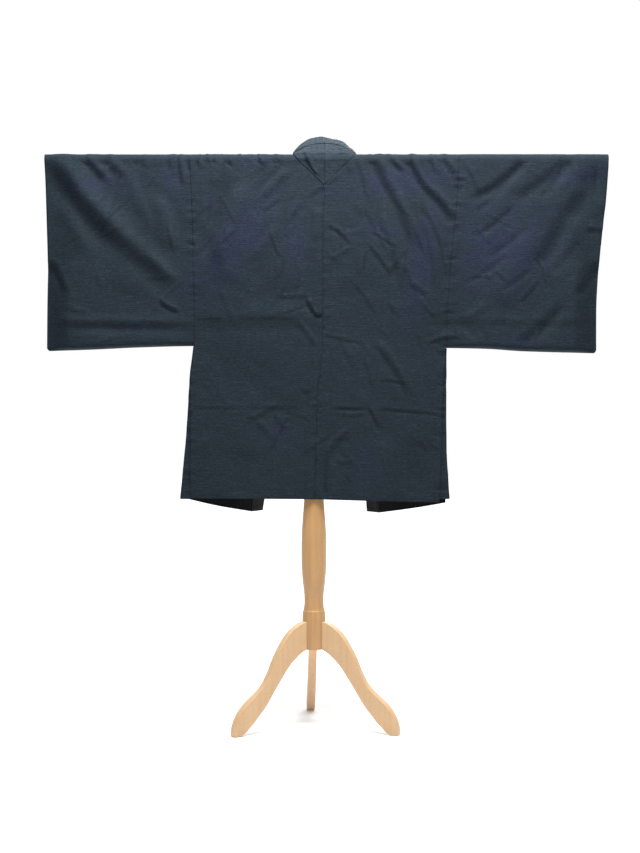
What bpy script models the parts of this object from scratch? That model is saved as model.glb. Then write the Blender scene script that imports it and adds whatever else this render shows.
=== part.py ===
# Haori jacket hung on the hidden crossbar of a turned tripod stand.
# The plans are in mm: +Z up, z = 0 on the floor, the wearer's left is +X and the jacket's back faces +Y.
import math

import bmesh
import bpy

for leftover in list(bpy.data.objects):
    bpy.data.objects.remove(leftover)

mm = 0.001
axisX, axisY = 30.0, 50.0  # the post stands here, so that the whole is centred on the row's origin
rod = dict(z=1349.0, radius=14.0, halfLength=656.0)
cloth = dict(thick=1.6, clear=0.7, seamGap=0.4)
collarThick = 2.4
wrap = rod["radius"] + cloth["clear"] + cloth["thick"] / 2  # radius of the cloth's middle over the rod
turns = 8  # facets of the cloth over the rod
armBottom = 440.0  # depth under the rod where the hems' slant begins
cotton = dict(colour=(0.038, 0.052, 0.069), roughness=0.86, metallic=0.0)
beech = dict(colour=(0.58, 0.36, 0.18), roughness=0.42, metallic=0.0)
smoothUnder = math.radians(40)  # edges flatter than this are shaded smooth

# x of each line of the garment by height z
centreSeam = ((1370, 5), (1288, 5), (1200, 8), (900, 10), (793, 22), (685, 25), (500, 28))
leftSide = ((1370, 327), (1169, 318), (960, 315.5), (909, 315.5), (828, 323), (500, 324))
rightSide = ((1370, -316), (1219, -307), (1117, -296), (986, -287), (905, -284), (860, -280), (500, -266.5))
leftCuff = ((1370, 670), (1296, 668), (1205, 665), (1103, 662.5), (1024, 664), (890, 665.5))
rightCuff = ((1370, -670), (1279, -666), (1198, -657.5), (1103, -648), (986, -642), (880, -642))
leftFrontSide = ((1370, 327), (1169, 318), (960, 315.5), (909, 315.5), (800, 323), (500, 335))
rightFrontSide = (
    (1370, -316), (1219, -307), (1117, -296), (986, -287), (905, -284), (800, -283), (500, -285),
)
leftOpening = ((1370, 71.5), (1288, 84), (1100, 112), (900, 141), (700, 166), (500, 184))
rightOpening = ((1370, -68), (1288, -76), (1100, -92), (900, -106), (700, -119), (500, -130))
# z of each lower edge by x
backHem = ((-300, 536.5), (-100, 541.5), (50, 545.5), (360, 547))
leftFrontHem = ((180, 508), (260, 525), (340, 546))
rightFrontHem = ((-290, 536), (-210, 520), (-125, 505))
sleeveBottom = (
    (-660, 892), (-475, 897), (-380, 903), (-280, 905), (310, 909.5), (452, 906), (562, 901), (670, 897.5),
)

fullness = 150.0  # how far from its side seam a panel reaches its full hang
# how far the cloth's middle hangs from the rod's plane, by depth under the rod
sideHang = ((0, wrap), (120, 20), (220, 22), (330, 18), (440, 12.5), (620, 15), (860, 21))
backHang = ((0, wrap), (120, 21), (220, 24), (440, 25), (620, 27), (860, 30))
frontHang = ((0, wrap), (120, 22), (220, 26), (440, 45), (620, 72), (860, 101))

neck = dict(
    left=71.5,
    right=-68.0,
    apexX=5.0,
    apexZ=1288.5,
    topZ=rod["z"] + wrap,
    seamRise=31.0,
    seamForward=19.0,
    roundness=0.8,
    ride=0.9,  # the neck cloth goes over the rod this far outside the shoulders'
    clear=0.6,
    short=5.0,
)
cuff = dict(
    openTo=1103.0, shut=2.0, slack=9.0, hang=20.0, reach=60.0, give=90.0, bottomRound=10.0, cornerRound=8.0,
)
gusset = dict(edge=1.1, inset=0.9, frontClear=1.4)

# the largest folds: a soft ridge (+) or trough (-) from one point to the other
fold = ("x0", "z0", "x1", "z1", "half", "height")
backFolds = (
    (655, 1345, 425, 985, 34, -7),
    (590, 1345, 455, 1110, 40, 5),
    (461, 1258, 433, 1091, 32, 4),
    (655, 968, 330, 966, 24, -3),
    (-659, 1350, -549, 1193, 36, -6),
    (-549, 1193, -478, 1057, 34, -7),
    (-635, 1057, -457, 933, 30, -5),
    (-457, 1350, -337, 1255, 28, -5),
    (-588, 1348, -478, 1265, 26, -4),
    (-197, 1350, -285, 1212, 26, -6),
    (-116, 1350, -192, 1184, 28, -5),
    (249, 1350, 63, 995, 45, -4),
    (316, 971, 68, 971, 24, -3),
    (313, 764, 63, 764, 26, -4),
    (-20, 766, -270, 745, 26, -4),
    (-11, 660, 8, 552, 22, 4),
)
frontFolds = (
    (650, 1345, 430, 1010, 34, -6),
    (600, 1180, 480, 940, 30, 4),
    (-650, 1345, -500, 1100, 34, -6),
    (-600, 1060, -440, 950, 28, -4),
    (290, 1330, 150, 1050, 30, -5),
    (-290, 1330, -130, 1080, 30, -5),
    (310, 764, 175, 750, 26, -4),
    (-280, 764, -125, 748, 26, -4),
)


def along(table, at):
    """A smooth line through a table's points, straight beyond its ends."""
    points = sorted(table)
    slopes = [(b[1] - a[1]) / (b[0] - a[0]) for a, b in zip(points, points[1:])]
    if at <= points[0][0]:
        return points[0][1] + slopes[0] * (at - points[0][0])
    if at >= points[-1][0]:
        return points[-1][1] + slopes[-1] * (at - points[-1][0])
    i = max(k for k in range(len(slopes)) if points[k][0] <= at)
    span = points[i + 1][0] - points[i][0]
    t = (at - points[i][0]) / span
    steer = lambda a, b: 0.0 if a * b <= 0 else 2 * a * b / (a + b)
    leave = steer(slopes[i - 1], slopes[i]) if i else slopes[i]
    arrive = steer(slopes[i], slopes[i + 1]) if i + 1 < len(slopes) else slopes[i]
    return (
        points[i][1] * (1 + 2 * t) * (1 - t) ** 2
        + points[i + 1][1] * t * t * (3 - 2 * t)
        + leave * span * t * (1 - t) ** 2
        + arrive * span * t * t * (t - 1)
    )


def ease(t):
    t = min(max(t, 0.0), 1.0)
    return t * t * (3 - 2 * t)


def mix(a, b, t):
    return a + (b - a) * t


def folded(folds, x, z):
    """The height that the table's folds add at a point of a hanging panel."""
    total = 0.0
    for row in folds:
        f = dict(zip(fold, row))
        dx, dz = f["x1"] - f["x0"], f["z1"] - f["z0"]
        length = math.hypot(dx, dz)
        t = ((x - f["x0"]) * dx + (z - f["z0"]) * dz) / length**2
        off = abs((x - f["x0"]) * dz - (z - f["z0"]) * dx) / length
        ends = ease((t + 0.15) / 0.3) * ease((1.15 - t) / 0.3)
        total += f["height"] * math.exp(-((off / f["half"]) ** 2)) * ends
    return total * ease((rod["z"] - z) / 70)


# where the cloth hangs


def sideOf(x):
    """The back's side seam, the front's side seam and the opening's edge."""
    if x > 0:
        return leftSide, leftFrontSide, leftOpening
    return rightSide, rightFrontSide, rightOpening


def backY(x, z):
    """y of the back's middle surface from the rod's plane."""
    depth = rod["z"] - z
    edge = abs(along(sideOf(x)[0], z))
    inward = ease((edge - abs(x)) / fullness)
    return mix(along(sideHang, depth), along(backHang, depth), inward) + folded(backFolds, x, z)


def frontY(x, z):
    depth = rod["z"] - z
    _, side, opening = sideOf(x)
    outer, inner = along(side, z), along(opening, z)
    inward = min(max((outer - x) / (outer - inner), 0.0), 1.0)
    hang = mix(along(sideHang, depth), along(frontHang, depth), inward**1.3)
    return -hang - folded(frontFolds, x, z)


def overRod(turn):
    """(y, z) on the rod: turn is 0 at the back, 90 on top and 180 in front."""
    return wrap * math.cos(math.radians(turn)), rod["z"] + wrap * math.sin(math.radians(turn))


def placed(x, y, z):
    return x * mm, (y + axisY) * mm, z * mm


def sheet(name, points, closedRows=False, extra=(), thick=cloth["thick"]):
    """A solid of cloth round a grid of its middle points: rows of equal length."""
    mesh = bpy.data.meshes.new(name)
    wide = len(points[0])
    verts = [placed(*p) for row in points for p in row]
    faces = []
    for i in range(len(points) - 1):
        for j in range(wide if closedRows else wide - 1):
            k = (j + 1) % wide
            faces.append((i * wide + j, i * wide + k, (i + 1) * wide + k, (i + 1) * wide + j))
    faces += [tuple(i * wide + j for i, j in corner) for corner in extra]
    mesh.from_pydata(verts, [], faces)
    body = bmesh.new()
    body.from_mesh(mesh)
    bmesh.ops.recalc_face_normals(body, faces=body.faces)
    body.to_mesh(mesh)
    body.free()
    made = bpy.data.objects.new(name, mesh)
    bpy.context.scene.collection.objects.link(made)
    wall = made.modifiers.new("wall", "SOLIDIFY")
    wall.thickness = thick * mm
    wall.offset = 0
    return made


# body panels

apexDepth = rod["z"] - neck["apexZ"]
backDepths = (
    0, 14, 34, apexDepth, 95, 140, 190, 240, 290, 340, 390, 440, 490, 540, 585, 625, 670, 720, 765, 806,
)
frontDepths = (0, 22, 60, 110, 165, 220, 280, 340, 395, 440, 500, 560, 620, 680, 740, 790, 830)
panelColumns = 9


def vSeamX(side, z):
    """x of the neck triangle's seam at height z."""
    top = neck["left"] if side > 0 else neck["right"]
    return mix(neck["apexX"], top, min(max((z - neck["apexZ"]) / (neck["topZ"] - neck["apexZ"]), 0), 1))


def bodyPanel(name, side):
    gap = side * cloth["seamGap"] / 2
    backSide, frontSide, opening = sideOf(side)
    frontHem = leftFrontHem if side > 0 else rightFrontHem
    rows = []
    for depth in reversed(backDepths):
        row = []
        for j in range(panelColumns + 1):
            u = j / panelColumns
            z = rod["z"] - depth
            inner = along(centreSeam, z) if depth > apexDepth else vSeamX(side, z)
            x = mix(inner + gap, along(backSide, z) - gap, u)
            if depth > armBottom:
                slant = (depth - armBottom) / (backDepths[-1] - armBottom)
                z = rod["z"] - mix(armBottom, rod["z"] - along(backHem, x), slant)
            row.append((x, backY(x, z), z))
        rows.append(row)
    for step in range(1, turns):
        y, z = overRod(180 * step / turns)
        inner = vSeamX(side, z) if y > 0 else along(opening, z)
        outer = along(backSide, z)
        row = []
        for j in range(panelColumns + 1):
            row.append((mix(inner + gap, outer - gap, j / panelColumns), y, z))
        rows.append(row)
    for depth in frontDepths:
        row = []
        for j in range(panelColumns + 1):
            z = rod["z"] - depth
            x = mix(along(opening, z) + gap, along(frontSide, z) - gap, j / panelColumns)
            if depth > armBottom:
                slant = (depth - armBottom) / (frontDepths[-1] - armBottom)
                z = rod["z"] - mix(armBottom, rod["z"] - along(frontHem, x), slant)
            row.append((x, frontY(x, z), z))
        rows.append(row)
    return sheet(name, rows)


bodyPanel("body_left", 1)
bodyPanel("body_right", -1)

# sleeves: a tube folded on the rod and at the bottom

sleeveDepths = (0, 0.045, 0.11, 0.2, 0.3, 0.42, 0.56, 0.7, 0.82, 0.92, 1)  # share of the drop under the rod
sleeveColumns = 10
closer = 0.92  # draws the columns towards the cuff


def sleeveHalf(z, fromCuff, folds, hang):
    """How far one wall of the sleeve hangs from the rod's plane: little at the cuff, sewn shut low down."""
    shut = ease((cuff["openTo"] + 12 - z) / 30)
    nearCuff = ease((rod["z"] - z) / cuff["give"]) * (1 - ease(fromCuff / cuff["give"]))
    opened = mix(1.0, cuff["slack"] / cuff["hang"], nearCuff)
    closed = mix(cuff["shut"] / max(hang, 1), 1.0, ease(fromCuff / cuff["reach"]))
    return (hang + folds) * mix(opened, closed, shut)


def sleeve(name, side):
    armhole, cuffLine = (leftSide, leftCuff) if side > 0 else (rightSide, rightCuff)
    gap = side * cloth["seamGap"] / 2
    rows = []
    for i in range(sleeveColumns + 1):
        u = (i / sleeveColumns) ** closer
        ring = []

        def at(z, nearBottom=1.0):
            corner = 1 - math.sqrt(max(0.0, 1 - (1 - nearBottom) ** 2))
            end = along(cuffLine, z) - side * cuff["cornerRound"] * corner
            return mix(along(armhole, z) + gap, end, u)

        for step in range(1, turns):
            y, z = overRod(180 - 180 * step / turns)
            ring.append((at(z), y, z))
        back, front = [], []
        for share in sleeveDepths:
            z = rod["z"] - share * (rod["z"] - along(sleeveBottom, at(960)) - cuff["bottomRound"])
            x = at(z)
            fromCuff = abs(along(cuffLine, z) - x)
            hang = along(sideHang, rod["z"] - z)
            back.append((x, sleeveHalf(z, fromCuff, folded(backFolds, x, z), hang), z))
            front.append((x, -sleeveHalf(z, fromCuff, folded(frontFolds, x, z), hang), z))
        low, foot = back[-1], along(sleeveBottom, at(960))
        for turn in (45, 90):
            z = foot + cuff["bottomRound"] * (1 - math.sin(math.radians(turn)))
            x = at(z, (z - foot + 1) / (cuff["bottomRound"] + 1))
            back.append((x, low[1] * math.cos(math.radians(turn)), z))
            if turn < 90:
                front.append((x, front[-1][1] * math.cos(math.radians(turn)), z))
        rows.append(ring + back + front[::-1])
    wide = len(rows[0])
    last = sleeveColumns
    start, middle = turns - 1, turns - 1 + len(sleeveDepths) + 1
    shutAt = [j for j in range(start, middle) if rows[last][j][2] < cuff["openTo"]]
    bridges = []
    for j in shutAt:
        k, m = 2 * middle - j, 2 * middle - j - 1
        face = ((last, j), (last, j + 1), (last, m), (last, k))
        bridges.append(face if m != j + 1 else ((last, j), (last, j + 1), (last, k)))
    return sheet(name, rows, closedRows=True, extra=bridges)


sleeve("sleeve_left", 1)
sleeve("sleeve_right", -1)

# gussets between the back and front side seams

gussetClear = 2.0
gussetRows = (880, 850, 815, 775, 730, 680, 630, 585, 541)
# the strip's outline by height: how far it stands out past the back's edge
gussetOut = ((906, 1.5), (828, 3), (700, 10), (541, 25))


def gussetPiece(name, side):
    backSide, frontSide, _ = sideOf(side)
    away = gusset["edge"]
    rows = []
    for z in (along(sleeveBottom, along(backSide, 905)) - gussetClear, *gussetRows):
        bx, fx = along(backSide, z), along(frontSide, z)
        by, fy = backY(bx, z), frontY(fx, z)
        out = max(abs(bx) + along(gussetOut, z), abs(fx) + gusset["frontClear"]) * side
        start = (bx + side * away, by - gusset["inset"])
        end = (fx + side * away, fy + gusset["inset"])
        rows.append(
            [
                (*start, z),
                (mix(start[0], out, 0.75), mix(by, fy, 0.26), z),
                (out, mix(by, fy, 0.52), z),
                (mix(end[0], out, 0.72), mix(by, fy, 0.78), z),
                (*end, z),
            ]
        )
    return sheet(name, rows)


gussetPiece("gusset_left", 1)
gussetPiece("gusset_right", -1)

# neck triangles and the collar's seam

neckSpacing = (20, 4, 14)  # up the back, round the rod, then free of it
neckColumns = (0, 0.22, 0.43, 0.61, 0.76, 0.88, 1)
neckRows = 10


def collarSeam(x):
    """(y, z) of the collar's seam across the back of the neck."""
    middle = (neck["left"] + neck["right"]) / 2
    q = min(abs(x - middle) / ((neck["left"] - neck["right"]) / 2), 1.0)
    arch = (1 - q * q) ** neck["roundness"]
    return -neck["seamForward"] * (1 - q * q), neck["topZ"] + neck["seamRise"] * arch


def neckPath(x, fromZ, t):
    """A point of the neck cloth: up the back, round the rod until it leaves it, then straight to the seam."""
    sy, sz = collarSeam(x)
    sz -= rod["z"]
    over = wrap + neck["ride"]
    reach = max(math.hypot(sy, sz), over)
    leave = math.atan2(sz, sy) - math.acos(over / reach)
    start = math.asin(min(max((fromZ - rod["z"]) / over, 0), 1))
    # the three stretches, and how closely each is divided
    lengths = (max(rod["z"] - fromZ, 0), over * (leave - start), math.sqrt(reach**2 - over**2))
    steps = [length / spacing for length, spacing in zip(lengths, neckSpacing)]
    run = t * sum(steps)
    if run < steps[0]:
        z = fromZ + run * neckSpacing[0]
        return x, backY(x, z), z
    run -= steps[0]
    if run < steps[1]:
        turn = start + run * neckSpacing[1] / over
        return x, over * math.cos(turn), rod["z"] + over * math.sin(turn)
    run = (run - steps[1]) * neckSpacing[2]
    return (
        x,
        over * math.cos(leave) - run * math.sin(leave),
        rod["z"] + over * math.sin(leave) + run * math.cos(leave),
    )


def neckTriangle(name, side):
    top = neck["left"] if side > 0 else neck["right"]
    first, last = neck["apexX"] + side * cloth["seamGap"] / 2, top - side * neck["short"]
    rows = []
    for column in neckColumns:
        x = mix(first, last, column)
        share = (x - neck["apexX"]) / (top - neck["apexX"])
        low = mix(neck["apexZ"], neck["topZ"], share) + neck["clear"]
        rows.append([neckPath(x, low, i / (neckRows - 1)) for i in range(neckRows)])
    return sheet(name, rows)


neckTriangle("neck_left", 1)
neckTriangle("neck_right", -1)

# the band's two halves from its seam: (x, y, z) up to its fold, then (x, y, z) down to its free edge
# by station: 0 hem, 1 the seam on the rod's front, 2 the shoulder, 3 half way round the neck, 4 centre back
bandAt = {
    1: (
        (0, (-13, -27, 0, -12, -26, 0)),
        (0.45, (-20, -22, 0, -18, -22, 0)),
        (0.8, (-21, -20, 3, -20, -18, -2)),
        (1, (-19, -17, 14, -17, -20, 0)),
        (2, (-14, -13, 29, -9, -23, -6)),
        (3, (-6, -23, 26, -3, -20, -16)),
        (4, (0, -26, 22, 0, -17, -19)),
    ),
    -1: (
        (0, (14, -26, 0, 13, -25, 0)),
        (0.45, (19, -23, 0, 18, -22, 0)),
        (0.8, (20, -21, 3, 20, -18, -2)),
        (1, (17, -20, 9, 16, -20, -2)),
        (2, (13, -25, 17, 8, -22, -10)),
        (3, (5, -30, 13, 2, -19, -15)),
        (4, (0, -26, 22, 0, -17, -19)),
    ),
}
band = dict(inset=1.7, puff=2.5, offSeam=1.0, offRod=0.8, steps=15, rodTurns=(150, 120))
neckShares = (0.055, 0.14, 0.26, 0.42, 0.6, 0.8, 1.0)  # of the way from the shoulder to the centre back


def bandOf(side, station):
    return [along([(s, row[k]) for s, row in bandAt[side]], station) for k in range(6)]


def collarSection(side, seam, station):
    """Five points across the band at one station of its seam."""
    x, y, z = seam
    b = bandOf(side, station)
    mid = (x + b[0], y + b[1], z + b[2])
    end = (mid[0] + b[3], mid[1] + b[4], mid[2] + b[5])
    halfway = lambda p, q: tuple((s + t) / 2 for s, t in zip(p, q))
    lift = band["puff"] * ease(station - 0.5)
    up = lambda p, n: (p[0], p[1] - n * 0.3, p[2] + n)
    return [seam, up(halfway(seam, mid), lift * 0.4), mid, up(halfway(mid, end), lift), end]


def collar():
    sections = []
    for side in (1, -1):
        half = []
        _, _, opening = sideOf(side)
        hem = leftFrontHem if side > 0 else rightFrontHem
        away = side * band["inset"]
        lowest = along(hem, along(opening, 500))
        for i in range(band["steps"] + 1):
            t = i / band["steps"]
            z = mix(lowest, rod["z"] - 2, t)
            x = along(opening, z)
            half.append(collarSection(side, (x - away, frontY(x, z) - 0.2 * t, z), t))
        for turn in band["rodTurns"]:
            y, z = overRod(turn)
            seam = (along(opening, z) - away, y - band["offRod"], z + band["offRod"])
            half.append(collarSection(side, seam, 1 + (180 - turn) / 78))
        top = neck["left"] if side > 0 else neck["right"]
        for share in neckShares if side > 0 else neckShares[:-1]:
            x = mix(top, (neck["left"] + neck["right"]) / 2, share)
            y, z = collarSeam(x)
            seam = (x, y - band["offSeam"], z + band["offSeam"])
            half.append(collarSection(side, seam, 2 + 2 * share**0.8))
        sections += half if side > 0 else half[::-1]
    return sheet("collar", sections, thick=collarThick)


collar()

# stand

# the post's turning: height and diameter; above the hem it is plain and narrows to the crossbar
postTurning = (
    (186, 54.0), (189, 56.0), (252, 56.4), (256, 56.0), (277, 53.4), (279, 52.6), (286, 48.0), (300, 46.6),
    (313, 47.0), (328, 49.6), (340, 52.4), (364, 57.0), (384, 59.2), (406, 59.6), (432, 59.4), (459, 58.6),
    (490, 54.8), (518, 50.0), (545, 46.5), (600, 42.0), (720, 37.0), (950, 32.0), (1250, 26.5), (1345, 26.0),
)
leg = dict(thick=20.0, edge=2.5, turned=-2.5, headings=(60.0, -60.0, 180.0))
# one leg's outline: distance from the post's axis and height
legTop = (
    (20, 255), (50, 244), (70, 234), (90, 210), (111, 174), (124, 142), (143, 109),
    (158, 95), (173, 84), (190, 70), (205, 56), (215, 40), (221, 24), (224, 0),
)
legUnder = (
    (205, 0), (196, 5), (182, 17), (168, 29), (156, 43), (130, 74),
    (107, 106), (84, 138), (72, 153), (57, 167), (40, 180), (20, 190),
)
saddle = dict(clear=0.4, halfLength=60)
hubBore = ((150, 57.0), (300, 57.0))


def solid(name, mesh):
    made = bpy.data.objects.new(name, mesh)
    bpy.context.scene.collection.objects.link(made)
    return made


def turning(name, profile, sides):
    """A closed turned solid on the post's axis from (height, diameter) rows."""
    mesh = bpy.data.meshes.new(name)
    verts, faces = [], []
    for z, across in profile:
        for k in range(sides):
            a = 2 * math.pi * k / sides
            x, y = axisX + across / 2 * math.cos(a), axisY + across / 2 * math.sin(a)
            verts.append((x * mm, y * mm, z * mm))
    for i in range(len(profile) - 1):
        for k in range(sides):
            n = (k + 1) % sides
            faces.append((i * sides + k, i * sides + n, (i + 1) * sides + n, (i + 1) * sides + k))
    faces += [tuple(reversed(range(sides))), tuple(range((len(profile) - 1) * sides, len(profile) * sides))]
    mesh.from_pydata(verts, [], faces)
    return solid(name, mesh)


def cross(name, radius, halfLength, sides, z=rod["z"]):
    """A round bar along X through the post's axis."""
    mesh = bpy.data.meshes.new(name)
    verts = []
    for x in (-halfLength, halfLength):
        for k in range(sides):
            a = 2 * math.pi * (k + 0.5) / sides
            verts.append((x * mm, (axisY + radius * math.cos(a)) * mm, (z + radius * math.sin(a)) * mm))
    faces = [(k, k + sides, (k + 1) % sides + sides, (k + 1) % sides) for k in range(sides)]
    faces += [tuple(range(sides)), tuple(reversed(range(sides, 2 * sides)))]
    mesh.from_pydata(verts, [], faces)
    made = bmesh.new()
    made.from_mesh(mesh)
    bmesh.ops.recalc_face_normals(made, faces=made.faces)
    made.to_mesh(mesh)
    made.free()
    return solid(name, mesh)


def cutFrom(part, cutter):
    cutter.hide_render = True
    cutter.display_type = "WIRE"
    cut = part.modifiers.new("cut", "BOOLEAN")
    cut.operation = "DIFFERENCE"
    cut.solver = "EXACT"
    cut.object = cutter


cross("crossbar", rod["radius"], rod["halfLength"], 32)
post = turning("post", postTurning, 28)
cutFrom(post, cross("saddle_cutter", rod["radius"] + saddle["clear"], saddle["halfLength"], 32))

hubCutter = turning("hub_cutter", hubBore, 28)
for number, heading in enumerate(leg["headings"], 1):
    a = math.radians(heading + leg["turned"])
    outline = legTop + legUnder
    mesh = bpy.data.meshes.new(f"leg_{number}")
    half = leg["thick"] / 2
    verts = []
    for across in (-half, half):
        for r, z in outline:
            verts.append(
                (
                    (axisX + r * math.sin(a) + across * math.cos(a)) * mm,
                    (axisY + r * math.cos(a) - across * math.sin(a)) * mm,
                    z * mm,
                )
            )
    n = len(outline)
    faces = [(k, (k + 1) % n, (k + 1) % n + n, k + n) for k in range(n)]
    faces += [tuple(reversed(range(n))), tuple(range(n, 2 * n))]
    mesh.from_pydata(verts, [], faces)
    made = bmesh.new()
    made.from_mesh(mesh)
    bmesh.ops.recalc_face_normals(made, faces=made.faces)
    made.to_mesh(mesh)
    made.free()
    board = solid(f"leg_{number}", mesh)
    cutFrom(board, hubCutter)
    edges = board.modifiers.new("edges", "BEVEL")
    edges.width = leg["edge"] * mm
    edges.segments = 2
    edges.limit_method = "ANGLE"
    edges.angle_limit = math.radians(55)


def finish(name, finishOf):
    """A material of the object's own, and smooth shading across its shallow edges."""
    made = bpy.data.objects[name]
    material = bpy.data.materials.new(name)
    material.use_nodes = True
    shader = material.node_tree.nodes["Principled BSDF"]
    shader.inputs["Base Color"].default_value = (*finishOf["colour"], 1.0)
    shader.inputs["Roughness"].default_value = finishOf["roughness"]
    shader.inputs["Metallic"].default_value = finishOf["metallic"]
    made.data.materials.append(material)
    made.data.shade_smooth()
    made.data.set_sharp_from_angle(angle=smoothUnder)


for name in ("post", "crossbar", "leg_1", "leg_2", "leg_3"):
    finish(name, beech)
for name in ("collar", "body_left", "body_right", "sleeve_left", "sleeve_right"):
    finish(name, cotton)
for name in ("gusset_left", "gusset_right", "neck_left", "neck_right"):
    finish(name, cotton)
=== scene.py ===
import math

import bpy
import numpy as np
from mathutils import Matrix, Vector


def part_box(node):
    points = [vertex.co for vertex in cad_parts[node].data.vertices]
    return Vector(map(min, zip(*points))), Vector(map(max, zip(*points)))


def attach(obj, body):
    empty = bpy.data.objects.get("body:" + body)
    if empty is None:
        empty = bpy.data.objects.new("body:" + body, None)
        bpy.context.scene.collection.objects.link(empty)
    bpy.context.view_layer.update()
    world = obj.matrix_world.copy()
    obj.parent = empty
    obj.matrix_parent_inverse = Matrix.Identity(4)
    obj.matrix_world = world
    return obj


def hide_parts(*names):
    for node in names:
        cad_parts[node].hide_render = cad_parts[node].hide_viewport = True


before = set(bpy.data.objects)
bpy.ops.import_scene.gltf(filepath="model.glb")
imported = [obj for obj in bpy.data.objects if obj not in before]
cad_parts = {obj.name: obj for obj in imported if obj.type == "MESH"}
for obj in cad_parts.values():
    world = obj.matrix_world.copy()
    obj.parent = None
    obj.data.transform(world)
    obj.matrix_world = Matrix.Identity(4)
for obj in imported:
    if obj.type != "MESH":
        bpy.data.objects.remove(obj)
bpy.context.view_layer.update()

# A slate-blue cotton haori on a turned beech tripod, seen from the back. Plans are in mm.
mm = 0.001
rodLow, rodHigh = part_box("crossbar")
postLow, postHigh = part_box("post")
axisX = (postLow[0] + postHigh[0]) / 2 / mm
axisY = (rodLow[1] + rodHigh[1]) / 2 / mm
rodZ = (rodLow[2] + rodHigh[2]) / 2 / mm
rod = dict(radius=14.0, halfLength=rodHigh[0] / mm, rounding=1.5)
cloth = dict(
    thick=1.3,
    clear=0.85,  # from the rod to the cloth
    seamGap=-0.3,  # the seams lap a little, so no light comes through
    step=3.7,  # between the mesh's rows and columns
    seamShade=2.2,  # how far the painted shade of a seam reaches
    fullFold=0.55,  # a hollow this deep between neighbouring points is fully shaded
    topLightFrom=16.3,  # height over the rod's axis where the painted top light starts, and how soon it is full
    topLightOver=2.6,
)
wrap = rod["radius"] + cloth["clear"] + cloth["thick"] / 2  # radius of the cloth's middle over the rod

print("frame loaded: rod at", round(rodZ), "mm, post at", round(axisX), round(axisY))

# small tools


def along(table, at):
    # smooth line through a table's points, straight beyond its ends
    xs, ys = np.array(sorted(table), float).T
    slope = np.diff(ys) / np.diff(xs)
    a, b = slope[:-1], slope[1:]
    bend = np.where(a * b > 0, 2 * a * b / np.where(a * b > 0, a + b, 1), 0)
    lean = np.concatenate([slope[:1], bend, slope[-1:]])
    at = np.asarray(at, float)
    i = np.clip(np.searchsorted(xs, at, side="right") - 1, 0, len(xs) - 2)
    span = xs[i + 1] - xs[i]
    t = np.clip((at - xs[i]) / span, 0, 1)
    inside = (
        ys[i] * (1 + 2 * t) * (1 - t) ** 2
        + ys[i + 1] * t * t * (3 - 2 * t)
        + lean[i] * span * t * (1 - t) ** 2
        + lean[i + 1] * span * t * t * (t - 1)
    )
    return inside + slope[0] * np.minimum(at - xs[0], 0) + slope[-1] * np.maximum(at - xs[-1], 0)


def ease(t):
    t = np.clip(t, 0, 1)
    return t * t * (3 - 2 * t)


def mix(a, b, t):
    return a + (b - a) * t


def bell(t):
    # 1 where t is 0, and soon nothing on both sides
    return np.exp(-(t**2))


def joined(*parts):
    return np.concatenate(parts)


def newObject(name, data):
    made = bpy.data.objects.new(name, data)
    bpy.context.scene.collection.objects.link(made)
    return made


def smooth(degrees):
    bpy.ops.object.shade_smooth_by_angle(angle=math.radians(degrees))


def uneven(x, z, size, seed):
    # soft random heights from -1 to 1, one bump per size, the same for every piece that asks
    cells = 64
    lattice = np.random.default_rng(seed).uniform(-1, 1, (cells, cells))
    x, z = np.asarray(x, float) / size, np.asarray(z, float) / size
    i, j = np.floor(x).astype(int), np.floor(z).astype(int)
    u, v = ease(x - i), ease(z - j)
    pick = lambda p, q: lattice[(i + p) % cells, (j + q) % cells]
    return mix(mix(pick(0, 0), pick(1, 0), u), mix(pick(0, 1), pick(1, 1), u), v)


# shares of its length that a fold runs past its ends and fades over; bulge brings it to a ridge's height
crease = dict(past=0.12, fade=0.34, bulge=2.33)


def creased(rows, x, z):
    # soft folds: lean 0 is a plain ridge (+) or trough (-), lean 1 bulges above its line and hollows below it
    total = np.zeros(np.broadcast(x, z).shape)
    for row in rows:
        x0, z0, x1, z1, half, height, lean, bow = (*row, 0, 0)[:8]
        dx, dz = x1 - x0, z1 - z0
        length = math.hypot(dx, dz)
        nx, nz = -dz / length, dx / length
        if nz < 0 or (abs(nz) < 1e-6 and nx < 0):
            nx, nz = -nx, -nz
        t = ((x - x0) * dx + (z - z0) * dz) / length**2
        bowed = bow * 4 * np.clip(t, 0, 1) * (1 - np.clip(t, 0, 1))
        s = ((x - x0) * nx + (z - z0) * nz - bowed) / half
        ends = ease((t + crease["past"]) / crease["fade"]) * ease((1 + crease["past"] - t) / crease["fade"])
        hump = bell(s)
        total += height * ((1 - abs(lean)) * hump + lean * crease["bulge"] * s * hump) * ends
    return total


# the garment's plan: x of each line by height z, and z of each lower edge by x

centreSeam = ((1370, 5), (1288, 5), (1200, 8), (900, 10), (793, 22), (685, 25), (500, 28))
lines = {
    1: dict(
        side=((1370, 327), (1169, 318), (960, 315.5), (909, 315.5), (828, 323), (500, 324)),
        front=((1370, 327), (1169, 318), (960, 315.5), (909, 315.5), (800, 323), (500, 335)),
        opening=((1370, 80.5), (1288, 87), (1100, 112), (900, 141), (700, 166), (500, 184)),
        cuff=((1370, 670), (1296, 668), (1205, 665), (1103, 662.5), (1024, 664), (890, 665.5)),
        frontHem=((180, 508), (260, 525), (340, 546)),
    ),
    -1: dict(
        side=((1370, -316), (1219, -307), (1117, -296), (986, -287), (905, -284), (860, -280), (500, -266.5)),
        front=((1370, -316), (1219, -307), (1117, -296), (986, -287), (905, -284), (800, -283), (500, -285)),
        opening=((1370, -70.5), (1288, -77), (1100, -92), (900, -106), (700, -119), (500, -130)),
        cuff=((1370, -670), (1279, -666), (1198, -657.5), (1103, -648), (986, -642), (880, -642)),
        frontHem=((-290, 536), (-210, 520), (-125, 505)),
    ),
}
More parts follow.
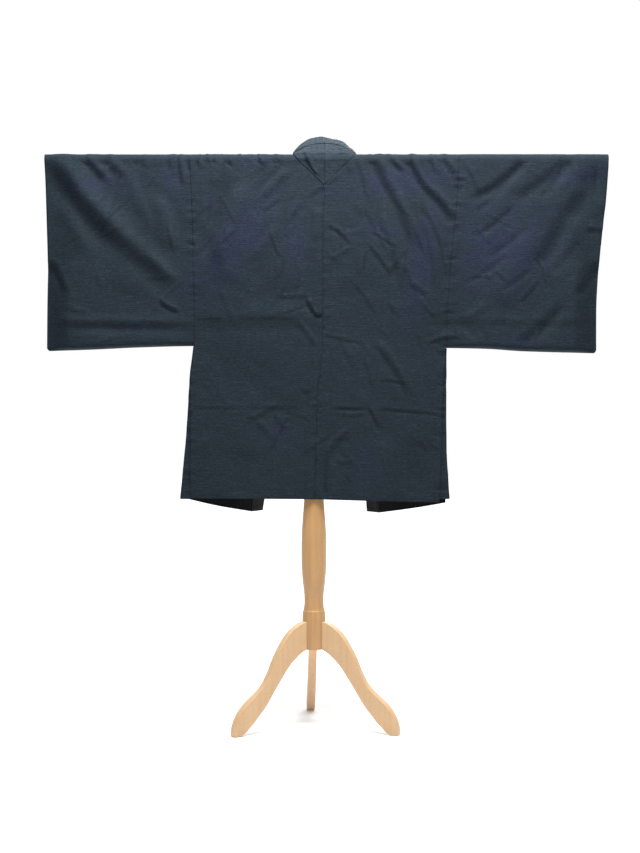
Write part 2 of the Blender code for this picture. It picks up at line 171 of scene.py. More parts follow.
backHem = ((-300, 536.5), (-100, 541.5), (50, 545.5), (360, 547))
sleeveBottom = (
    (-660, 892), (-475, 897), (-380, 903), (-280, 905), (310, 909.5), (452, 906), (562, 901), (670, 897.5),
)
# how far the cloth hangs from the rod's plane, by depth under the rod
sideHang = ((0, wrap), (120, 20), (220, 22), (330, 18), (440, 13.5), (620, 14.5), (860, 17))
sleeveHang = ((0, wrap), (120, 20), (220, 22), (330, 23), (440, 24.5))
backHang = ((0, wrap), (120, 22), (220, 26), (440, 27.5), (620, 27.5), (860, 31))
frontHang = ((0, wrap), (120, 22), (220, 26), (440, 45), (620, 72), (860, 101))

# folds: x and z of both ends, half width, height, lean and bow, the last two 0 where they are left out
backCreases = (
    # left sleeve
    (655, 1350, 488, 1158, 30, 8, 0.8, -8), (505, 1176, 372, 1052, 27, 4.2, 0.8),
    (600, 1270, 455, 1120, 34, 4), (580, 1366, 522, 1300, 13, 3, 0.7), (530, 1362, 484, 1310, 15, 2.6, 0.7),
    (392, 1262, 358, 1150, 24, 4, -0.5, 4), (396, 1016, 350, 990, 7, 2.2, 0.9, -3),
    (650, 962, 330, 958, 14, 2.2, 0.9), (657, 1112, 618, 1036, 11, 3, 0.8, 4),
    (352, 1366, 340, 1290, 7, 2.4, 0.6), (366, 1366, 352, 1330, 8, 2, 0.4), (560, 1130, 610, 930, 45, 3),
    (460, 1050, 520, 930, 50, -3), (640, 1250, 560, 1120, 22, 3, 0.3), (470, 1330, 400, 1180, 20, 2.4, -0.4),
    (430, 1120, 360, 1060, 14, 2, 0.5), (620, 1000, 560, 985, 9, 1.4, 0.4),
    (440, 1366, 428, 1330, 9, 1.6, 0.6), (376, 1366, 366, 1326, 8, 1.6, 0.7),
    (338, 1372, 330, 1318, 5, -2.6, 0.3, 2), (356, 1372, 350, 1330, 5, -2.2, 0.3),
    (470, 1372, 452, 1334, 6, -2.2, 0.4), (592, 1372, 570, 1334, 7, -2.4, 0.4),
    # left back
    (280, 1372, 266, 1336, 5, -2.8, 0.4, -2), (246, 1372, 226, 1330, 5, -2.6, 0.4, -3),
    (204, 1372, 192, 1340, 5, -2.2, 0.4), (176, 1372, 160, 1336, 5, -2.2, 0.4, 2),
    (140, 1372, 126, 1338, 5, -2, 0.4), (112, 1372, 104, 1346, 5, -1.8, 0.4),
    (306, 1366, 300, 1330, 7, 2, 0.6), (247, 1360, 262, 1290, 14, 2.2, 0.5),
    (170, 1366, 150, 1338, 7, 2, 0.6), (150, 1366, 160, 1330, 8, 1.6, -0.5),
    (128, 1368, 110, 1344, 7, 2, 0.6), (290, 1200, 240, 1060, 24, 2.6, 0.4),
    (120, 1200, 180, 1120, 14, 1.6, -0.6), (60, 1250, 90, 1200, 10, 1.4, 0.5),
    (288, 1367, 276, 1344, 6, 2.6, 0.6), (262, 1366, 229, 1344, 6, 2.4, 0.4, 8),
    (206, 1357, 194, 1368, 7, 2.2, 0.6), (212, 1296, 266, 1120, 30, 6, -0.7, 6),
    (97, 1333, 166, 1258, 13, 2.4, -0.7, 3), (150, 1240, 100, 1040, 50, 3),
    (46, 1020, 24, 982, 7, 2.6, 0.9, -2), (30, 981.5, 11, 981, 6, 2, 0.9), (66, 970, 22, 910, 7, 1.8, 0, 2),
    (60, 1050, 76, 1008, 7, 1.2, -0.6), (316, 974, 245, 974, 5, 0.55, 0.9), (200, 975, 70, 974, 5, 0.4, 0.9),
    (316, 968, 30, 968, 26, 1.6, 0.8), (23, 1160, 17, 1240, 14, 1.6),
    # right back
    (-113, 1368, -155, 1272, 15, 4.5, 0.75, -3), (-152, 1280, -206, 1148, 14, 3.6, 0.75, 4),
    (-193, 1368, -237, 1280, 11, 5, 0.8, -3), (-234, 1286, -304, 1204, 13, 4.2, 0.8, 5),
    (-96, 1368, -113, 1342, 6, 2, 0.7), (-136, 1366, -180, 1324, 8, 2.6, 0.7, 2),
    (-269, 1366, -311, 1306, 9, 2.8, 0.7, 2), (-229, 1238, -277, 1138, 8, 1.8, 0.7, 4),
    (-2, 1196, -58, 1150, 6, 1.8, 0.6, 4), (0, 1115, -58, 1146, 6, 1.3, -0.3),
    (-103, 1147, -150, 1083, 7, 1.6, 0.7), (-130, 1207, -180, 1046, 12, 2.2, 0.7, 5),
    (-200, 1058, -238, 1029, 8, 1.6, 0.7), (-151, 1010, -166, 980, 7, 1.4, 0.7),
    (-243, 916, -318, 930, 6, 1.6, 0.6, 5), (-60, 1060, -90, 900, 45, -2.5),
    (-40, 1366, -58, 1320, 6, 1.4, 0.5), (-75, 1350, -100, 1250, 8, 1.8, 0.6, 2),
    (-160, 1366, -166, 1330, 6, 1.6, 0.5), (-240, 1366, -262, 1316, 8, 2.2, 0.7, 2),
    (-168, 1250, -236, 1120, 7, 1.6, 0.6, 6), (-232, 1210, -262, 1040, 8, 1.5, 0.6, 5),
    (-262, 1180, -290, 1060, 7, 1.4, 0.6, 3), (-90, 1240, -150, 1120, 7, 1.2, 0.5),
    (-66, 1056, -120, 980, 6, 1, 0.6, 3), (-172, 1120, -230, 990, 9, 1.4, 0.5, 4),
    (-30, 930, -70, 850, 8, 1, 0.5),
    # right sleeve
    (-330, 1340, -372, 1250, 8, 2, 0.5, 4), (-350, 1230, -420, 1290, 10, -2, -0.35, -5),
    (-352, 1170, -440, 1240, 9, -1.8, -0.35, -4), (-380, 1120, -470, 1190, 10, -1.6, -0.3, -4),
    (-330, 1060, -420, 1120, 8, -1.5, -0.3, -4), (-410, 1040, -480, 1090, 9, -1.5, -0.3, -3),
    (-500, 1260, -560, 1330, 12, -2.4, -0.35, -4), (-520, 1080, -600, 1160, 14, -2, -0.3, -4),
    (-314, 950, -330, 915, 5, -1.4, 0.3), (-360, 950, -384, 914, 7, -1.4, 0.3),
    (-345, 1260, -470, 1356, 14, -5, -0.35, -10), (-449, 1262, -580, 1360, 18, -4, -0.35, -6),
    (-641, 1332, -556, 1206, 26, -6.5, -0.3, -6), (-560, 1212, -494, 1098, 24, -6, -0.3, -5),
    (-600, 1290, -660, 1230, 22, 3), (-616, 1186, -660, 1184, 9, 2.2, 0.8),
    (-645, 1097, -588, 1030, 15, -3.4, -0.4, -3), (-554, 1004, -454, 914, 17, -4, -0.4, -5),
    (-328, 974, -378, 1006, 10, 1.8), (-309, 966, -352, 925, 14, -2.2, 0.3), (-480, 1180, -420, 1010, 40, 3),
    (-640, 962, -300, 966, 14, 0.8, 0.8),
    # skirt
    (314, 763, 200, 763, 5, 0.55, 0.9), (190, 764, 65, 762, 6, 0.6, 0.8), (164, 733, 121, 686, 7, 1.6, 0, 3),
    (118, 745, 100, 710, 8, 1.4, 0.4), (-18, 763, -92, 760, 5, 1.3, 0.9),
    (-26, 750, -88, 748, 6, 1, 0.6, -5), (-124, 761, -272, 748, 5, 1.1, 0.9),
    (-102, 764, -127, 714, 7, 2.2, 0.8), (-119, 912, -198, 790, 11, 2.6, 0.7, 6),
    (3, 652, -48, 712, 8, 2.4, 0, 5), (0, 548, -4, 640, 8, -2.6, 0.2, 3), (-20, 548, -16, 640, 14, 2.4),
    (250, 900, 60, 700, 60, -3), (290, 700, 280, 548, 30, 2), (190, 660, 196, 548, 36, -2.4),
    (-140, 690, -150, 540, 34, 2.6), (-200, 690, -214, 540, 26, -2.4), (-250, 880, -200, 620, 40, 2),
)
frontCreases = (
    (652, 1350, 430, 1010, 30, 7, 0.7, -6), (600, 1190, 480, 940, 34, 3.5),
    (560, 1366, 520, 1300, 12, 3, 0.7), (650, 966, 330, 962, 15, 3, 0.8),
    (-650, 1350, -500, 1100, 28, -6, -0.3, 6), (-600, 1070, -440, 950, 22, -4),
    (-640, 966, -300, 966, 16, 2, 0.8), (280, 1362, 150, 1060, 24, 4.5, 0.6, 4),
    (190, 1362, 170, 1220, 12, 3, 0.6), (-280, 1362, -130, 1080, 24, 4.5, 0.6, -4),
    (-170, 1362, -150, 1230, 12, 3, 0.6), (310, 764, 175, 750, 7, 2, 0.9), (-280, 764, -125, 748, 7, 2, 0.9),
    (250, 700, 235, 520, 30, 4), (-200, 700, -190, 520, 28, 4), (300, 900, 200, 640, 40, -4),
    (-260, 900, -180, 640, 36, -4), (90, 1250, 150, 1010, 18, 2, 0.4),
)


def crumpled(seed, count):
    # small creases left by storage, many of them, none alike
    pick = np.random.default_rng(seed)
    rows = []
    for _ in range(count):
        x, z = pick.uniform(-650, 650), pick.uniform(560, 1330)
        turn = math.radians(pick.normal(62 if x < 0 else 118, 34))
        length = pick.uniform(22, 95)
        dx, dz = math.cos(turn) * length / 2, math.sin(turn) * length / 2
        bow, half = pick.uniform(-3, 3), pick.uniform(4.2, 9)
        height, lean = pick.uniform(0.4, 1.2), pick.uniform(0.2, 0.9)
        rows.append((x - dx, z - dz, x + dx, z + dz, half, height, lean, bow))
    return tuple(rows)


crumples = {True: crumpled(5, 150), False: crumpled(6, 90)}
pressed = dict(folds=1.35, bumps=((1.3, 95), (0.5, 33), (0.16, 12)))  # heights, and sizes across


def relief(x, z, back=True):
    # folds and the unevenness of pressed cotton, in mm outwards; nothing is pushed into the rod
    height = pressed["folds"] * creased((backCreases if back else frontCreases) + crumples[back], x, z)
    seed = 3 if back else 11
    places = ((x + 0.3 * z, z - 0.2 * x), (x - 0.4 * z, z), (x, z))
    for n, (place, (strength, size)) in enumerate(zip(places, pressed["bumps"])):
        height = height + strength * uneven(*place, size, seed + n)
    under = ease((rodZ + 6 - z) / 16)
    return np.where(height > 0, height * mix(0.7, 1, under), height * under)


def shoulderRelief(x, z, turn):
    # over the rod, the front's folds pass into the back's
    return mix(relief(x, z, False), relief(x, z), ease((130 - np.degrees(turn)) / 80))


def clearOf(radius, away):
    # how far from the plane through a round bar's axis its surface is, at this distance beside the axis
    return np.sqrt(np.clip(radius**2 - away**2, 0, None))


postRadius = ((500, 27), (545, 23.3), (600, 21), (720, 18.5), (950, 16), (1250, 13.3), (1370, 13))
apart = dict(rod=cloth["thick"] / 2 + 0.3, post=1.2)  # least distances to the cloth's middle


def offRod(z):
    return clearOf(rod["radius"] + apart["rod"], rodZ - z)


def offPost(x, z):
    return clearOf(along(postRadius, z) + apart["post"], x - axisX)


def backY(x, z):
    depth = rodZ - z
    edge = np.where(np.asarray(x) > 0, along(lines[1]["side"], z), -along(lines[-1]["side"], z))
    inward = ease((edge - np.abs(x)) / 150)
    return mix(along(sideHang, depth), along(backHang, depth), inward)


def frontY(x, z, side):
    depth = rodZ - z
    outer, inner = along(lines[side]["front"], z), along(lines[side]["opening"], z)
    inward = np.clip((outer - x) / (outer - inner), 0, 1)
    return -mix(along(sideHang, depth), along(frontHang, depth), inward**1.3)


def puckers(away, run, seed, height=0.75, reach=13):
    # short gathers beside a seam: away is the distance from it, run the distance along it
    short = uneven(run, 0 * run + 7, 8.5, seed) + 0.6 * uneven(run, 0 * run + 3, 19, seed + 5)
    return height * short * bell(away / reach)


def armPucker(z, side):
    # the armhole is gathered most at its middle on the left, and all the way down on the right
    return 0.7 + (0.7 * bell((z - 1160) / 60) if side > 0 else 1.0)


def rolledEdge(away, depth=1.0, reach=2.6):
    # a seam's edge turns in, which leaves the fine dark line of the stitching
    return -depth * (1 - ease(away / reach))


def spacedAcross(width):
    # shares of a width, closer together at its two edges
    edge = np.array([0, 0.9, 1.9, 3.2, 5.4]) / width
    inset = 9 / width
    count = max(int((width - 22) / cloth["step"]), 4)
    return joined(edge, np.linspace(inset, 1 - inset, count), 1 - edge[::-1])


violet = dict(
    # soft areas of the dyeing: middle x and z, half length, half width, turn in degrees, strength
    areas=(
        (216, 1150, 150, 52, 52, 1), (75, 1165, 80, 36, 90, 0.75), (541, 1293, 110, 30, 0, 0.6),
        (360, 1306, 55, 34, 90, 0.8), (159, 1343, 40, 20, 0, 0.7), (273, 1262, 26, 20, 0, 0.5),
        (-170, 1300, 160, 36, 8, 0.85), (-113, 1181, 60, 24, 0, 0.8), (-228, 1112, 160, 34, 76, 0.95),
        (-421, 1150, 120, 105, 30, 0.8), (-605, 1315, 80, 32, 10, 0.7), (-452, 918, 60, 16, 0, 0.6),
        (-90, 620, 40, 60, 0, 0.4), (430, 950, 50, 20, 0, 0.5), (120, 700, 60, 40, 20, 0.35),
    ),
    gain=1.25,
    ragged=0.8,
    least=0.15,
    most=0.85,
)


def violetCast(x, z):
    total = 0 * x
    for cx, cz, long, short, turn, strength in violet["areas"]:
        c, s = math.cos(math.radians(turn)), math.sin(math.radians(turn))
        u, v = (x - cx) * c - (z - cz) * s, (x - cx) * s + (z - cz) * c
        total = np.maximum(total, strength * np.exp(-((u / long) ** 2) - (v / short) ** 2))
    ragged = 0.6 * uneven(x, z, 26, 91) + 0.4 * uneven(x, z, 11, 92)
    total = total * violet["gain"] * (1 + violet["ragged"] * ragged)
    return np.clip(total - violet["least"], 0, violet["most"])


def paintedFoldShade(points, ring):
    # painted shade: how sharply the cloth is hollowed at each point, 0 to 1, from the bend between neighbours
    across = 0.5 * (np.roll(points, 1, 1) + np.roll(points, -1, 1)) - points
    if not ring:
        across[:, [0, -1]] = 0
    down = 0 * points
    down[1:-1] = 0.5 * (points[2:] + points[:-2]) - points[1:-1]
    return np.clip(np.sign(points[:, :, 1]) * (across + down)[:, :, 1] / cloth["fullFold"], 0, 1)


def selectOnly(piece):
    bpy.ops.object.select_all(action="DESELECT")
    bpy.context.view_layer.objects.active = piece
    piece.select_set(True)


def turnOutwards(weld=0):
    # the selected piece's faces, after any doubles are merged
    bpy.ops.object.mode_set(mode="EDIT")
    bpy.ops.mesh.select_all(action="SELECT")
    if weld:
        bpy.ops.mesh.remove_doubles(threshold=weld)
    bpy.ops.mesh.normals_make_consistent(inside=False)
    bpy.ops.object.mode_set(mode="OBJECT")


def modify(piece, kind, **settings):
    made = piece.modifiers.new(kind, kind)
    for key, value in settings.items():
        setattr(made, key, value)
    bpy.ops.object.modifier_apply(modifier=made.name)


def cutMap(u, v, shift):
    # where each point lies on the flat cut, in metres
    return np.stack(np.broadcast_arrays(u, v), 2) * mm + shift


def sheetMesh(name, points, uv, seam, facing, thick=cloth["thick"], ring=False, bridges=()):
    # a thin solid cloth round a grid of middle points (rows, columns, 3) in mm, with its cut as the UV map
    high, wide, _ = points.shape
    placed = (points + (0, axisY, 0)) * mm
    mesh = bpy.data.meshes.new(name)
    i, j = np.meshgrid(np.arange(high - 1), np.arange(wide if ring else wide - 1), indexing="ij")
    i, j = i.ravel(), j.ravel()
    corners = ((0, 0), (0, 1), (1, 1), (1, 0))
    faces = np.stack([(i + down) * wide + (j + across) % wide for down, across in corners], 1)
    cuts = np.stack([uv[i + down, j + across] for down, across in corners], 1).reshape(-1, 2)
    extra = [tuple(int(a * wide + b) for a, b in face) for face in bridges]
    mesh.from_pydata(placed.reshape(-1, 3).tolist(), [], faces.tolist() + extra)
    layer = mesh.uv_layers.new(name="cut")
    flat = np.zeros((len(mesh.loops), 2))
    flat[: len(cuts)] = cuts
    layer.data.foreach_set("uv", flat.ravel().astype(np.float32))
    looks = {
        # painted shade along the seams
        "paintedSeamShade": seam,
        "violetCast": violetCast(points[:, :, 0], points[:, :, 2]),
        # painted shade in sharp folds
        "paintedFoldShade": paintedFoldShade(points, ring),
        # painted light on the cloth that lies over the rod
        "paintedTopLight": ease((points[:, :, 2] - rodZ - cloth["topLightFrom"]) / cloth["topLightOver"]),
    }
    for label, values in looks.items():
        attribute = mesh.attributes.new(label, "FLOAT", "POINT")
        attribute.data.foreach_set("value", values.ravel().astype(np.float32))
    mesh.materials.append(None)  # the right side's cotton, then the wrong side's near-black copy, which is painted shade
    mesh.materials.append(None)
    piece = newObject(name, mesh)
    selectOnly(piece)
    turnOutwards()
    outermost = max(mesh.polygons, key=lambda face: np.dot(face.center, facing))
    if np.dot(outermost.normal, facing) < 0:
        mesh.flip_normals()
    modify(piece, "SOLIDIFY", thickness=thick * mm, offset=0, material_offset=1)
    smooth(55)
    return piece


def seamShadeLine(*distances):
    # painted shade along a seam, 1 on the line itself
    return bell(np.minimum.reduce(distances) / cloth["seamShade"])


# body: one length each side, from the front hem over the shoulder to the back hem

tops = {1: 80.5, -1: -70.5}  # x of the opening at the shoulder
neck = dict(
    apexX=5.0, apexZ=1288.5, topZ=rodZ + wrap,  # the V of the back
    rise=31.0, forward=19.0, roundness=0.8,  # the collar's seam, seen from behind and above
    lap=2.2, over=1.15,  # of the collar over the neck cloth
    layer=0.8,  # of the neck cloth over the body's
    length=90.0, half=62.0, rows=34,
)
body = dict(
    armhole=440.0,  # depth under the rod where the sleeves end
    back=806.0, front=830.0,  # depth of the last rows, before they move to the hem's line
    width=300.0, hemRows=np.array([0, 1.4, 3.4, 6.4]), hemRoll=(0.9, 5),
    ridge=dict(height=1.2, away=13, half=8, below=1180),  # over the centre seam's allowance
)


def makeBody(name, side):
    plan = lines[side]
    gap = side * cloth["seamGap"] / 2
    step, arm, seams = cloth["step"], body["armhole"], []
    share = spacedAcross(body["width"])
    backDepths = joined(body["back"] - body["hemRows"], np.arange(body["back"] - 11, 2, -step), [0.6])
    frontDepths = joined([0.6], np.arange(4, body["front"] - 10, step), body["front"] - body["hemRows"][::-1])

    def vSeam(z):
        t = np.clip((z - neck["apexZ"]) / (neck["topZ"] - neck["apexZ"]), 0, 1)
        return mix(neck["apexX"], tops[side], t)

    def columns(inner, outer):
        # x, how far it is from each seam, and how the seams' edges turn in; also the painted shade along both
        # seams
        inner, outer = inner + gap, outer - gap
        x = mix(inner, outer, share)
        fromInner, fromOuter = np.abs(x - inner), np.abs(outer - x)
        seams.append(seamShadeLine(fromInner, fromOuter))
        return x, fromInner, fromOuter, rolledEdge(fromInner) + rolledEdge(fromOuter)

    def toHem(depth, hem, last):
        # below the armhole the rows spread out, so that the last one is the hem
        return rodZ - np.where(depth > arm, mix(arm, rodZ - hem, (depth - arm) / (last - arm)), depth)

    # the back, from the hem up
    depth = backDepths[:, None] + 0 * share
    z = rodZ - depth
    underV = depth > rodZ - neck["apexZ"]
    inner = np.where(underV, along(centreSeam, z), vSeam(z))
    x, fromInner, fromOuter, edges = columns(inner, along(plan["side"], z))
    hem = along(backHem, x)
    z = toHem(depth, hem, body["back"])
    height = relief(x, z) + puckers(fromInner, z, 21 + side) * np.where(underV, 1, 0.3)
    height += puckers(fromOuter, z, 31 + side, armPucker(z, side))
    height += edges + rolledEdge(z - hem, *body["hemRoll"])
    if side > 0:
        ridge = body["ridge"]
        lying = bell((fromInner - ridge["away"]) / ridge["half"])
        height += ridge["height"] * lying * ease((ridge["below"] - z) / 80)
    hung = np.maximum(backY(x, z) + height, np.maximum(offRod(z), offPost(x, z)))
    back = np.stack([x, hung, z], 2)

    # over the rod
    turn = np.radians(np.linspace(0, 180, 19)[1:-1])[:, None] + 0 * share
    z = rodZ + wrap * np.sin(turn)
    inner = np.where(turn < math.pi / 2, vSeam(z), along(plan["opening"], z))
    x, _, fromOuter, edges = columns(inner, along(plan["side"], z))
    height = shoulderRelief(x, z, turn) + puckers(fromOuter, wrap * turn + rodZ, 31 + side) * 0.3
    height = np.maximum(height, -0.3) + 0.5 * edges
    out = wrap + np.maximum(height, -0.6)
    over = np.stack([x, out * np.cos(turn), rodZ + out * np.sin(turn)], 2)

    # down the front
    depth = frontDepths[:, None] + 0 * share
    z = rodZ - depth
    x, fromInner, fromOuter, edges = columns(along(plan["opening"], z), along(plan["front"], z))
    hem = along(plan["frontHem"], x)
    z = toHem(depth, hem, body["front"])
    height = relief(x, z, False) + puckers(fromInner, z, 41 + side) + puckers(fromOuter, z, 51 + side)
    height += edges + rolledEdge(z - hem, *body["hemRoll"])
    front = np.stack([x, np.minimum(frontY(x, z, side) - height, -offRod(z)), z], 2)

    points = joined(back, over, front)
    quarter = math.pi / 2
    run = joined(-backDepths - wrap * quarter, -wrap * (quarter - turn[:, 0]), frontDepths + wrap * quarter)
    uv = cutMap(points[:, :, 0], run[:, None], (0.37 * side, 0))
    return sheetMesh(name, points, uv, joined(*seams), facing=(0, 1, 0))


# sleeves: one length each, folded on the rod and along the bottom, the lower part of the cuff sewn shut

sleeve = dict(width=345.0, height=450.0, bottomRound=10.0, rollTurns=(18, 36, 54, 72, 90), shoulder=90)
cuff = dict(openTo=1103.0, shut=1.8, slack=0.45, reach=60.0, cornerRound=9.0, roll=(1.2, 4))


def makeSleeve(name, side):
    plan = lines[side]
    gap = side * cloth["seamGap"] / 2
    share = spacedAcross(sleeve["width"])
    drop = joined([0.003], np.arange(0.012, 0.99, cloth["step"] / sleeve["height"]), [1.0])
    rollTurns = np.radians(sleeve["rollTurns"])

    def shape(z, nearBottom=1.0):
        # x, and how far it is from the armhole seam and from the cuff's edge, at height z
        inner = along(plan["side"], z) + gap
        corner = 1 - np.sqrt(np.clip(1 - (1 - nearBottom) ** 2, 0, 1))
        outer = along(plan["cuff"], z) - side * cuff["cornerRound"] * corner
        x = mix(inner, outer, share[:, None])
        return x, np.abs(x - inner), np.abs(outer - x)

    def wall(z, low, back):
        # one wall of the sleeve at heights z: x, distance from the rod's plane and from the armhole
        x, fromArm, fromCuff = shape(z, np.clip((z - low) / cuff["cornerRound"], 0, 1))
        depth = rodZ - z
        hang = mix(along(sideHang, depth), along(sleeveHang, depth), ease(fromArm / sleeve["shoulder"]))
        shut = ease((cuff["openTo"] + 12 - z) / 30)
        opened = mix(1.0, cuff["slack"], ease(depth / 90) * (1 - ease(fromCuff / 90)))
        closed = mix(cuff["shut"] / hang, 1.0, ease(fromCuff / cuff["reach"]))
        openness = mix(opened, closed, shut)
        height = relief(x, z, back) * mix(1, openness, 0.7)
        height += puckers(fromArm, z, (31 if back else 51) + side, armPucker(z, side))
        height += puckers(z - low, x, 61 + side, height=0.5, reach=9)
        height += rolledEdge(fromArm)
        edge = rolledEdge(fromCuff, *cuff["roll"]) * (1 - shut)
        return x, np.maximum(hang * openness + height + edge, np.maximum(0.95, offRod(z))), fromArm

    x0 = mix(along(plan["side"], 960), along(plan["cuff"], 960), share)[:, None]
    foot = along(sleeveBottom, x0)
    z = rodZ - drop * (rodZ - foot - sleeve["bottomRound"])
    xb, hb, armB = wall(z, foot, True)
    xf, hf, armF = wall(z, foot, False)
    zr = foot + sleeve["bottomRound"] * (1 - np.sin(rollTurns))
    xr, armR, _ = shape(zr, np.clip((zr - foot + 0.6) / cuff["cornerRound"], 0, 1))
    rollBack, rollFront = hb[:, -1:] * np.cos(rollTurns), hf[:, -1:] * np.cos(rollTurns)
    turn = np.radians(np.linspace(180, 0, 19)[1:-1])[None, :] + 0 * share[:, None]
    zt = rodZ + wrap * np.sin(turn)
    xt, armT, _ = shape(zt)
    out = wrap + np.maximum(shoulderRelief(xt, zt, turn), -0.3) + 0.5 * rolledEdge(armT)

    ring = [
        (xt, out * np.cos(turn), rodZ + out * np.sin(turn), armT),
        (xb, hb, z, armB),
        (xr, rollBack, zr, armR),
        (xr[:, -2::-1], -rollFront[:, -2::-1], zr[:, -2::-1], armR[:, -2::-1]),
        (xf[:, ::-1], -hf[:, ::-1], z[:, ::-1], armF[:, ::-1]),
    ]
    points = np.stack([np.concatenate([part[n] for part in ring], 1) for n in range(3)], 2)
    arm = np.concatenate([part[3] for part in ring], 1)
    middle = points[len(share) // 2]
    steps = np.linalg.norm(np.diff(middle, axis=0, append=middle[:1]), axis=1)
    uv = cutMap(points[:, :1, 0], joined([0], np.cumsum(steps)), (0.9 * side, 0.4))
    # the cuff's two edges are joined, from the opening down
    last = len(share) - 1
    bottom = len(zt[0]) + len(drop) + len(rollTurns) - 1  # the ring's lowest column
    bridges = []
    for j in range(len(zt[0]), bottom):
        if points[last, j, 2] < cuff["openTo"]:
            other = 2 * bottom - j
            face = ((last, j), (last, j + 1), (last, other - 1), (last, other))
            bridges.append(face if other - 1 != j + 1 else face[:3])
    # painted shade along the armhole seam
    return sheetMesh(name, points, uv, seamShadeLine(arm), facing=(0, 1, 0.01), ring=True, bridges=bridges)


# gussets, between the body's two panels under the sleeve

gusset = dict(
    spread=((906, 1.5), (828, 3), (700, 10), (541, 25)),  # how far it bows out past the back panel, by height
    bottom=545.0, rows=92, columns=15,
    under=1.9, tuck=1.2,  # how its edges lie beneath the panels, and within their edges
)


def makeGusset(name, side):
    plan = lines[side]
    top = float(along(sleeveBottom, along(plan["side"], 905))) - 2.0
    z = np.linspace(top, gusset["bottom"], gusset["rows"])[:, None]
    v = np.linspace(0, 1, gusset["columns"])
    bx, fx = along(plan["side"], z), along(plan["front"], z)
    # each edge is sewn under its panel and follows that panel's folds
    backEdge = relief(bx, z) + puckers(0 * z, z, 31 + side, armPucker(z, side))
    frontEdge = relief(fx, z, False) + puckers(0 * z, z, 51 + side)
    by, fy = backY(bx, z) + backEdge - gusset["under"], frontY(fx, z, side) - frontEdge + gusset["under"]
    out = np.maximum(np.abs(bx) + along(gusset["spread"], z), np.abs(fx) + 1.6)
    edge = mix(np.abs(bx) - gusset["tuck"], np.abs(fx) - gusset["tuck"], v)
    bulge = (1 - np.abs(2 * v - 1) ** 2.4) ** 0.8
    x = side * (edge + (out - edge) * bulge)
    x = x + side * 0.5 * uneven(20 * v + 0 * z, z, 24, 71 + side) * bulge
    y = mix(by, fy, v**1.7)
    points = np.stack([x, y, z + 0 * v], 2)
    # painted shade along the gusset's two seams
    seam = bell(np.minimum(v, 1 - v) * (by - fy) / 2.5)
    return sheetMesh(name, points, cutMap(y, z, (1.7 * side, 0.2)), seam, facing=(side, 0, 0))


# neck pieces and collar


def collarSeam(x):
    middle, half = (tops[1] + tops[-1]) / 2, (tops[1] - tops[-1]) / 2
    q = np.minimum(np.abs(x - middle) / half, 1.0)
    return -neck["forward"] * (1 - q * q), neck["topZ"] + neck["rise"] * (1 - q * q) ** neck["roundness"]


def neckLeaves(x):
    # where the neck cloth leaves the rod for the collar's seam: turn and radius, and how far off the seam is
    sy, sz = collarSeam(x)
    sz = sz - rodZ
    over = wrap + neck["layer"]
    reach = max(math.hypot(sy, sz), over)
    return math.atan2(sz, sy) - math.acos(over / reach), over, reach


def neckPath(x, fromZ):
    # up the back, round the rod until it leaves it, then straight to the collar's seam; then which way is out
    leave, over, reach = neckLeaves(x)
    start = math.asin(min(max((fromZ - rodZ) / over, 0), 1))
    lengths = (max(rodZ - fromZ, 0), over * (leave - start), math.sqrt(reach**2 - over**2))
    path = []
    for run in np.linspace(0, sum(lengths), neck["rows"]):
        if run < lengths[0]:
            path.append((x, float(backY(x, fromZ + run)), fromZ + run, 1, 0))
        elif run < lengths[0] + lengths[1]:
            turn = start + (run - lengths[0]) / over
            c, s = math.cos(turn), math.sin(turn)
            path.append((x, over * c, rodZ + over * s, c, s))
        else:
            rest = run - lengths[0] - lengths[1]
            c, s = math.cos(leave), math.sin(leave)
            path.append((x, over * c - rest * s, rodZ + over * s + rest * c, c, s))
    return np.array(path)


neckCreases = (
    (55, 1368, 24, 1312, 6, 5, 0.8, -2), (44, 1372, 30, 1340, 6, 2, -0.6),
    (26, 1386, 18, 1366, 5, 1.8, 0.5), (-24, 1388, -40, 1368, 6, 1.8, 0.5), (-6, 1390, -12, 1368, 5, 1.4),
    (8, 1384, 4, 1360, 5, 1.2), (58, 1369, -60, 1370, 2.6, 1.6, 0.8, 2),
    (46, 1377, -10, 1380, 2.6, 1.5, 0.8, 2), (-2, 1375, -52, 1376, 2.4, 1.2, 0.8, 1),
    (34, 1386, -30, 1388, 2.6, 1.3, 0.8, 2), (70, 1367, -62, 1367, 2.6, 1.8),
    (54, 1373, 47, 1352, 3, 1.6, 0.7), (33, 1374, 27, 1350, 3, 1.5, 0.7), (17, 1372, 14, 1354, 2.6, 1.3, 0.6),
    (-8, 1372, -15, 1356, 2.6, 1.2, 0.6), (-27, 1373, -34, 1354, 3, 1.4, 0.6),
    (-46, 1371, -50, 1356, 3, 1.2, 0.6),
)


